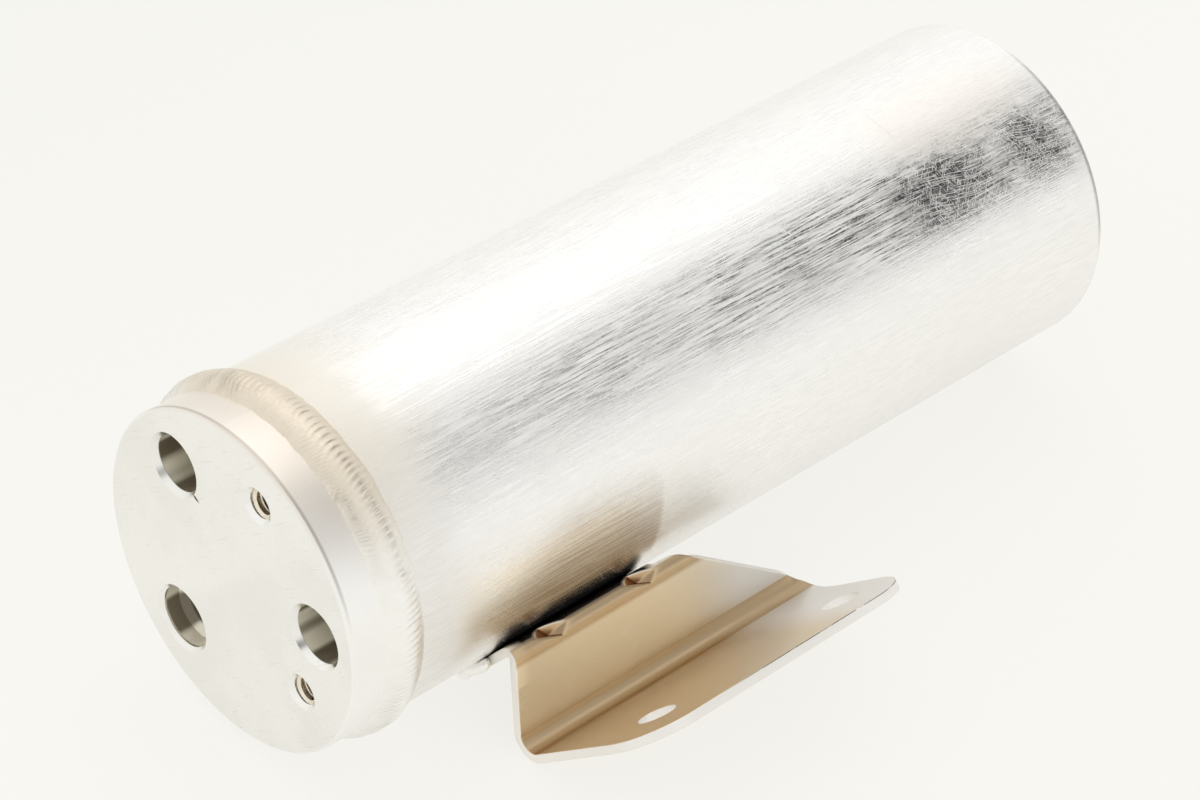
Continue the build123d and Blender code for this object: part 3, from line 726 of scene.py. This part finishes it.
saddle_r = CAN_RADIUS + SADDLE_GAP + SHEET / 2
hairpin_r = HAIRPIN_INNER + SHEET / 2
bend_r = BEND_INNER + SHEET / 2
reach = CAN_RADIUS + SADDLE_GAP + STANDOFF + HAIRPIN_INNER + SHEET
release = HAIRPIN_ANGLE + degrees(acos((saddle_r + hairpin_r) / reach))
lead = sqrt(reach**2 - (saddle_r + hairpin_r) ** 2)
web_heading = 270 - WEB_LEAN
bend_turn = flange_heading - web_heading
setback = BEND_INNER / tan(radians((180 + bend_turn) / 2))
hairpin_turn = web_heading - (release + 270)
moves = [
    (saddle_r, release - SADDLE_FOOT),
    (lead, 0),
    (hairpin_r, hairpin_turn),
    (WEB_RUN, 0),
    (bend_r, bend_turn),
    (FLANGE - setback, 0),
]
lengths = [size * radians(abs(turn)) if turn else size for size, turn in moves]
ends = [sum(lengths[: i + 1]) for i in range(len(moves))]
print("the strip's bends end at", [round(e, 2) for e in ends])


# %% Where a point of the strip ends up
def ahead(heading):
    return Vector((0, cos(radians(heading)), sin(radians(heading))))


def left_of(heading):
    return Vector((0, -sin(radians(heading)), cos(radians(heading))))


def fold(s, shift):
    """The folded place of the point at s, shifted to the left of the strip's middle line."""
    point = Vector((0, cos(radians(SADDLE_FOOT)), sin(radians(SADDLE_FOOT)))) * saddle_r
    heading = SADDLE_FOOT - 90
    for (size, turn), length in zip(moves, lengths):
        part = min(max(s, 0), length)
        if turn == 0:
            point = point + ahead(heading) * part
        else:
            inward = size if turn > 0 else -size
            centre = point + left_of(heading) * inward
            heading += turn * part / length
            point = centre - left_of(heading) * inward
        s -= part
        if s <= 1e-9:
            break
    return point + left_of(heading) * shift


crest_s = ends[1] + lengths[2] / 2
hairpin_centre = Vector((0, cos(radians(HAIRPIN_ANGLE)), sin(radians(HAIRPIN_ANGLE)))) * reach
hairpin_outer = HAIRPIN_INNER + SHEET
print("crest at s", round(crest_s, 2), "flange tip at", [round(v, 2) for v in fold(ends[-1], 0)])

# %% The blank's outline
START_X, SADDLE_END_X, CREST_END_X, FLANGE_END_X, FLARE_X = 33.0, 65.0, 70.6, 94.8, 98.2
slope = tan(radians(34.2))
web_top_x = CREST_END_X + hairpin_outer / slope
web_foot_x = web_top_x + WEB_RUN / slope
corners = [
    ((START_X, 0), 1.0),
    ((SADDLE_END_X, 0), 1.0),
    ((SADDLE_END_X, crest_s - 0.6), 0.4),
    ((CREST_END_X - 1.2, crest_s - 0.4), 1.2),
    ((web_top_x, ends[2]), 2.0),
    ((web_foot_x, ends[3]), 0.5),
    ((FLARE_X, ends[3] + 5.0), 2.4),
    ((FLANGE_END_X, ends[4] + 5.5), 4.0),
    ((FLANGE_END_X, ends[5]), 10.0),
    ((START_X, ends[5]), 10.0),
]
bm = bmesh.new()
rim = [bm.verts.new((x, s, -SHEET / 2)) for (x, s), _ in corners]
face = bm.faces.new(rim)
for vert, (_, rounding) in zip(rim, corners):
    bmesh.ops.bevel(
        bm, geom=[vert], affect="VERTICES", offset=rounding, segments=10, profile=0.5, material=-1
    )
bmesh.ops.delete(bm, geom=bm.faces[:], context="FACES_ONLY")
HOLE_S = ends[4] + 24.4 - setback
HOLE_XS, HOLE_R = (44.1, 85.8), 3.3
for x in HOLE_XS:
    bmesh.ops.create_circle(
        bm, cap_ends=False, segments=56, radius=HOLE_R, matrix=Matrix.Translation((x, HOLE_S, -SHEET / 2))
    )
bmesh.ops.triangle_fill(bm, use_beauty=True, use_dissolve=False, edges=bm.edges[:])
print("blank:", len(bm.faces), "faces")

# %% Its thickness and its soft edges
grown = bmesh.ops.extrude_face_region(bm, geom=bm.faces[:])["geom"]
bmesh.ops.translate(bm, vec=(0, 0, SHEET), verts=[g for g in grown if isinstance(g, bmesh.types.BMVert)])
bmesh.ops.recalc_face_normals(bm, faces=bm.faces)
rims = [e for e in bm.edges if e.calc_face_angle(0) > radians(80)]
bmesh.ops.bevel(bm, geom=rims, affect="EDGES", offset=0.14, segments=2, profile=0.5, material=-1)

# %% Cuts for the bends
DART_XS, DART_HALF, DART_REACH, DART_LEAN, DART_DEPTH = (41.7, 61.4), 3.3, 3.4, 3.0, 2.0


def stations(low, high, step):
    """Evenly spaced places from low to high, about a step apart."""
    count = max(1, round((high - low) / step))
    return [low + (high - low) * i / count for i in range(count + 1)]


s_cuts = stations(0.5, ends[0], 1.2) + stations(ends[0], ends[1] - 2, 1.2)
s_cuts += stations(ends[1] - 1.7, ends[1], 0.2) + stations(ends[1], ends[2], 0.09)
s_cuts += stations(ends[2], ends[2] + 5.0, 0.16) + stations(ends[3], ends[4], 0.3)
s_cuts += [ends[2] + 8, ends[2] + 11]
x_cuts = [36.0, 50.0, 52.0, 70.0, 76.0, 82.0, 88.0]
for x in DART_XS:
    x_cuts += stations(x - 5.0, x + 5.0, 0.14)
for s in s_cuts:
    everything = bm.verts[:] + bm.edges[:] + bm.faces[:]
    bmesh.ops.bisect_plane(bm, geom=everything, plane_co=(0, s, 0), plane_no=(0, 1, 0))
for x in x_cuts:
    near_darts = [f for f in bm.faces if ends[1] - 2 < f.calc_center_median().y < ends[2] + 5.2]
    bounds = {e for f in near_darts for e in f.edges} | {v for f in near_darts for v in f.verts}
    bmesh.ops.bisect_plane(bm, geom=list(bounds) + near_darts, plane_co=(x, 0, 0), plane_no=(1, 0, 0))
print("cut blank:", len(bm.faces), "faces")

# %% [markdown]
# ### The darts
# Two darts are pressed across the hairpin to stiffen it. A dart is what a blunt blade leaves: the
# metal drops until it lies on the blade's two flanks. So each point is lowered along the blade's
# travel by how far it stands above the flank below it, and a soft corner rounds lips and valley.


# %% The dart's blade
def blade_planes():
    """Each flank as (normal, point) in the drawing's directions, with the dart's middle at x = 0."""
    travel = ahead(web_heading - hairpin_turn / 2 - 90)
    lead_heading = release + 270
    apex = hairpin_centre + travel * (hairpin_outer - DART_DEPTH)
    crest = hairpin_centre + travel * hairpin_outer
    web_tip = hairpin_centre - left_of(web_heading) * hairpin_outer + ahead(web_heading) * DART_REACH
    lead_tip = hairpin_centre - left_of(lead_heading) * hairpin_outer - ahead(lead_heading) * DART_REACH
    ring = [
        crest + Vector((-DART_HALF, 0, 0)),
        web_tip + Vector((DART_LEAN, 0, 0)),
        crest + Vector((DART_HALF, 0, 0)),
        lead_tip + Vector((-DART_LEAN, 0, 0)),
    ]
    planes = []
    for i in range(4):
        normal = (ring[i - 1] - apex).cross(ring[i] - apex).normalized()
        if normal.dot(travel) < 0:
            normal = -normal
        planes.append((normal, apex))
    return planes, travel


planes, travel = blade_planes()
SOFT = 0.3


def step(value, low, high):
    """0 below low, 1 above high, and even between them."""
    return min(1.0, max(0.0, (value - low) / (high - low)))


def dart_drop(x, s):
    """How far the metal at (x, s) is pressed down, and how much painted shade the dart gets there."""
    drop, fold_shade = 0.0, 0.0
    skin = fold(s, -SHEET / 2)
    for middle in DART_XS:
        if abs(x - middle) > 6:
            continue
        place = Vector((x - middle, skin.y, skin.z))
        heights = [(place - apex).dot(normal) / normal.dot(travel) for normal, apex in planes]
        above = min(heights)
        drop = max(drop, (above + sqrt(above * above + SOFT * SOFT)) / 2 - SOFT * SOFT / 8)
        if above > 0:
            # The copper flank is a painted reflection of the tan flank, and the valley is painted shade.
            copper, tan_flank = heights[1], heights[2]
            valley = 1 - step(abs(copper - tan_flank), 0.0, 0.45)
            fold_shade = max(0.2, 0.62 * step(tan_flank - copper, -0.05, 0.15), valley) * step(above, 0.0, 0.3)
    return drop, fold_shade


blank_layer = bm.verts.layers.float_vector.new("blank")
crevice_shade_layer = bm.verts.layers.float.new("crevice_shade")
sheared_layer = bm.verts.layers.float.new("sheared")
fold_shade_layer = bm.verts.layers.float.new("fold_shade")
burr_layer = bm.verts.layers.float.new("burr")
lowest, highest = ends[1] - 1.8, ends[2] + 5.0
for vert in bm.verts:
    x, s, shift = vert.co
    vert[blank_layer] = vert.co * MM
    vert[sheared_layer] = 1.0 if abs(shift) < SHEET / 2 - 0.1 else 0.0
    # Painted shade: the side facing the can is painted black near the saddle, as shade in the crevice.
    shaded_by_can = 1 - step(s, ends[1] + 0.38 * lengths[2], ends[1] + 0.52 * lengths[2])
    # The bare crest and the bend are given a little painted shade.
    bare_crest = step(s, ends[1] + 0.38 * lengths[2], crest_s) * (1 - step(s, ends[2], ends[2] + 1.4))
    in_bend = step(s, ends[3], ends[3] + 0.6) * (1 - step(s, ends[4] - 0.6, ends[4]))
    deep = 0.2 * max(bare_crest, in_bend)
    shaded_by_can *= step(x, START_X + 0.3, START_X + 2.2) * (1 - step(x, SADDLE_END_X - 1.6, SADDLE_END_X + 0.2))
    folded = fold(s, shift)
    if lowest < s < highest:
        fade = min(1.0, (s - lowest) / 0.8, (highest - s) / 0.8)
        drop, fold_shade = dart_drop(x, s)
        folded = folded - travel * drop * fade
        shaded_by_can *= 1 - step(drop, 0.03, 0.2)
        deep = max(deep, fold_shade * fade)
    vert[crevice_shade_layer] = shaded_by_can if shift < 0 else 0.0
    vert[fold_shade_layer] = deep if shift < 0 else 0.0
    on_bevel = SHEET / 2 - 0.13 < -shift < SHEET / 2 - 0.01
    by_hole = hypot(x - HOLE_XS[1], s - HOLE_S) < 4
    vert[burr_layer] = 1.0 if on_bevel and s > ends[4] + 2 and not by_hole else 0.0
    vert.co = Vector((x, folded.y, folded.z))
bmesh.ops.recalc_face_normals(bm, faces=bm.faces)
bracket = place_piece(bm, "folded_bracket", sheet_metal, ["mounting_bracket"], sharp=60)
tidy = bracket.modifiers.new("even shading", "WEIGHTED_NORMAL")
tidy.keep_sharp = True

# %% [markdown]
# ## The saddle's front weld
# Where the saddle ends, a short hand-made weld ties it to the can. It is a lumpy little bead: a
# round section spun along the joint, swollen and pinched by noise, with its ends drawn in.

# %% Front weld
WELD_R, SPAN_START, SPAN = 30.9, release - 4.0, 18.0
JOINT_X = START_X - 0.9
bm = bmesh.new()
bmesh.ops.create_circle(
    bm, cap_ends=False, segments=14, radius=1.0,
    matrix=Matrix.Translation((JOINT_X, 0, 0)) @ Matrix.Rotation(pi / 2, 4, "X"),
)
bmesh.ops.translate(bm, vec=(0, 0, WELD_R), verts=bm.verts)
to_start = Matrix.Rotation(radians(SPAN_START - 90), 4, "X")
bmesh.ops.rotate(bm, cent=(0, 0, 0), matrix=to_start, verts=bm.verts)
bmesh.ops.spin(
    bm, geom=bm.verts[:] + bm.edges[:], cent=(0, 0, 0), axis=(1, 0, 0), angle=radians(SPAN), steps=70,
    use_merge=False,
)
bmesh.ops.holes_fill(bm, edges=[e for e in bm.edges if e.is_boundary], sides=0)
for vert in bm.verts:
    _, y, z = vert.co
    along = (degrees(atan2(z, y)) - SPAN_START) / SPAN
    taper = sqrt(max(0.02, 1 - (2 * along - 1) ** 6))
    lump = 1.1 + 0.06 * sin(along * 26) + 0.35 * noise.noise(vert.co * 0.6)
    core = Vector((JOINT_X, *(Vector((y, z)).normalized() * WELD_R)))
    vert.co = core + (vert.co - core) * taper * lump
bmesh.ops.recalc_face_normals(bm, faces=bm.faces)
front_weld = place_piece(bm, "front_weld", weld_metal, ["bracket_weld_front"], sharp=75)

# %% [markdown]
# ## Threads
# The tapped holes are plain bores in the CAD model. A thread is one triangle carried round and
# forward at once, so a spin with a small step along the axis for each turn draws it.


# %% Thread cutter
TURN_STEPS = 40


def add_thread(name, mount, crest_depth, pitch, start):
    """A helical ridge on the wall of a threaded hole, from start to near its bottom."""
    radius = mount["dims"]["r_mm"]
    _, y, z = (v / MM for v in mount["pos_m"])
    middle = mount["pos_m"][0] / MM
    bottom = middle + mount["dims"]["length_mm"] / 2 - pitch * 1.5
    turns = int((bottom - start) / pitch)
    bm = bmesh.new()
    wall, crest = radius + 0.03, radius - crest_depth
    shape = [(-0.44 * pitch, wall), (-0.06 * pitch, crest), (0.06 * pitch, crest), (0.44 * pitch, wall)]
    ring = [bm.verts.new((start + dx, 0, r)) for dx, r in shape]
    for a, b in zip(ring, ring[1:] + ring[:1]):
        bm.edges.new((a, b))
    bmesh.ops.spin(
        bm, geom=bm.verts[:] + bm.edges[:], cent=(0, 0, 0), axis=(1, 0, 0), dvec=(pitch / TURN_STEPS, 0, 0),
        angle=2 * pi * turns, steps=TURN_STEPS * turns, use_merge=False,
    )
    bmesh.ops.holes_fill(bm, edges=[e for e in bm.edges if e.is_boundary], sides=0)
    bmesh.ops.translate(bm, vec=(0, y, z), verts=bm.verts)
    bmesh.ops.recalc_face_normals(bm, faces=bm.faces)
    return place_piece(bm, name, thread_metal, sharp=25, roll_it=False)


add_thread("outlet_tap_thread", mounts["clamp_thread_outlet"], 0.5, 1.0, 0.9)
add_thread("inlet_tap_thread", mounts["clamp_thread_inlet"], 0.5, 1.0, 0.9)
add_thread("switch_thread", mounts["switch_port"], 0.45, 1.25, 5.6)

# %% [markdown]
# ## The stage
# The part lies on a white sweep in a bright room. The floor is pale and plain, and tilted by the
# small angle at which the can rests on its bead and its far rim.

# %% Floor
REST_SPAN = 163.4
TILT = atan2(BEAD_CROWN, REST_SPAN)
bm = bmesh.new()
bmesh.ops.create_grid(bm, x_segments=1, y_segments=1, size=6.0)
bmesh.ops.rotate(bm, cent=(0, 0, 0), matrix=Matrix.Rotation(-TILT, 3, "Y"), verts=bm.verts)
below_axis = (CAN_RADIUS + BEAD_CROWN) * MM + WELD_X * tan(TILT)
bmesh.ops.translate(bm, vec=(0, 0, -below_axis), verts=bm.verts)
mesh = bpy.data.meshes.new("floor")
bm.to_mesh(mesh)
bm.free()
floor = bpy.data.objects.new("floor", mesh)
bpy.context.scene.collection.objects.link(floor)

# %% [markdown]
# The paper is so brightly lit that shadows hardly show on it. Its own colour carries the picture
# where the camera or a mirror sees it, and only a little of the true shading is left in.

# %% Paper
paper = bpy.data.materials.new("white_paper")
paper.use_nodes = True
tree = paper.node_tree
paper_shader = tree.nodes["Principled BSDF"]
paper_shader.inputs["Base Color"].default_value = (0.92, 0.915, 0.89, 1)
paper_shader.inputs["Roughness"].default_value = 0.9
paper_shader.inputs["Specular IOR Level"].default_value = 0.1
paper_at = tree.nodes.new("ShaderNodeTexCoord").outputs["Object"]
paper_y = add_node(tree, "ShaderNodeSeparateXYZ", {0: paper_at}).outputs["Y"]
# The paper is painted a little darker towards the back: painted shade.
to_back = ramp(tree, paper_y, -0.02, 0.35)
white = blend_colour(tree, to_back, (0.965, 0.956, 0.915, 1), (0.90, 0.895, 0.85, 1))
glow = add_node(tree, "ShaderNodeEmission", {"Color": white, "Strength": 1.0})
ray = tree.nodes.new("ShaderNodeLightPath").outputs
seen_ray = math_node(tree, "MAXIMUM", ray["Is Camera Ray"], ray["Is Glossy Ray"])
EVENNESS = 0.8
mixer = add_node(
    tree, "ShaderNodeMixShader",
    {0: times(tree, seen_ray, EVENNESS), 1: paper_shader.outputs[0], 2: glow.outputs[0]},
)
tree.links.new(mixer.outputs[0], tree.nodes["Material Output"].inputs["Surface"])
floor.data.materials.append(paper)
print("floor at", round(mesh.vertices[0].co.z, 4))
# %% [markdown]
# The room is white on nearly every side. One dark panel, beyond the part and above its right end,
# is what the smooth metal mirrors as its grey band, and a small dark patch stands behind the
# camera, where a photographer would. One large, weak lamp gives the white paper a soft shadow.

# %% Room
PANEL_X, PANEL_HALF_X, PANEL_TURN, PANEL_HALF_TURN = 0.707, 0.212, -31.0, 44.0
BEHIND_CAMERA = (-0.564, -0.521, 0.641)
DARK = (0.03, 0.03, 0.03, 1)
scene = bpy.context.scene
world = bpy.data.worlds.new("room")
scene.world = world
world.use_nodes = True
tree = world.node_tree
sky = tree.nodes["Background"]
facing = tree.nodes.new("ShaderNodeTexCoord").outputs["Generated"]
across = add_node(tree, "ShaderNodeSeparateXYZ", {0: facing}).outputs
beside = math_node(tree, "DIVIDE", math_node(tree, "SUBTRACT", across["X"], PANEL_X), PANEL_HALF_X)
tipped = math_node(tree, "ARCTAN2", across["Y"], across["Z"])
tipped = math_node(tree, "SUBTRACT", tipped, radians(PANEL_TURN))
tipped = math_node(tree, "DIVIDE", tipped, radians(PANEL_HALF_TURN))
off_panel = add_node(tree, "ShaderNodeCombineXYZ", {"X": beside, "Y": tipped}).outputs[0]
shade = fall(tree, vector_node(tree, "LENGTH", off_panel), 0.55, 1.0)
room = blend_colour(tree, shade, (0.98, 0.98, 0.97, 1), DARK)
behind = vector_node(tree, "DOT_PRODUCT", facing, BEHIND_CAMERA)
shade = ramp(tree, behind, cos(radians(17)), cos(radians(9)))
room = blend_colour(tree, shade, room, DARK)
tree.links.new(room, sky.inputs["Color"])
sky.inputs["Strength"].default_value = 1.0
print("room", len(tree.nodes), "nodes")

# %% Lamp
LAMP_PLACE, LAMP_AIM = (0.3, 0.45, 1.0), (0.08, 0, 0)
lamp_data = bpy.data.lights.new("softbox", "AREA")
lamp_data.shape = "DISK"
lamp_data.size = 1.2
lamp_data.energy = 1.2
lamp = bpy.data.objects.new("softbox", lamp_data)
scene.collection.objects.link(lamp)
lamp.location = LAMP_PLACE
lamp.rotation_euler = (Vector(LAMP_AIM) - lamp.location).to_track_quat("-Z", "Y").to_euler()
print("lamp at", LAMP_PLACE)

# %% [markdown]
# ## The camera
# The camera's place was worked out from the ellipses of the header and the far rim. Its three
# axes are those of the drawing, so they are rolled onto the table with everything else.

# %% Camera
eye = TO_TABLE @ Vector((-0.270632, -0.368877, 0.352901))
right = TO_TABLE.to_3x3() @ Vector((0.72523709, -0.68849921, 0.0))
up = TO_TABLE.to_3x3() @ Vector((0.39515559, 0.41624084, 0.81889903))
back = TO_TABLE.to_3x3() @ Vector((-0.56381133, -0.59389595, 0.57393761))
lens = bpy.data.cameras.new("camera")
lens.lens = 110.83
lens.sensor_width = 36.0
lens.clip_start = 0.01
camera = bpy.data.objects.new("camera", lens)
scene.collection.objects.link(camera)
axes = Matrix((right, up, back)).transposed()
camera.matrix_world = Matrix.Translation(eye) @ axes.to_4x4()
scene.camera = camera
scene.view_settings.view_transform = "Standard"
print("camera at", [round(v, 3) for v in eye])

# %% [markdown]
# ## Update the scene
# The view layer is brought up to date.

# %% Update the view layer
bpy.context.view_layer.update()
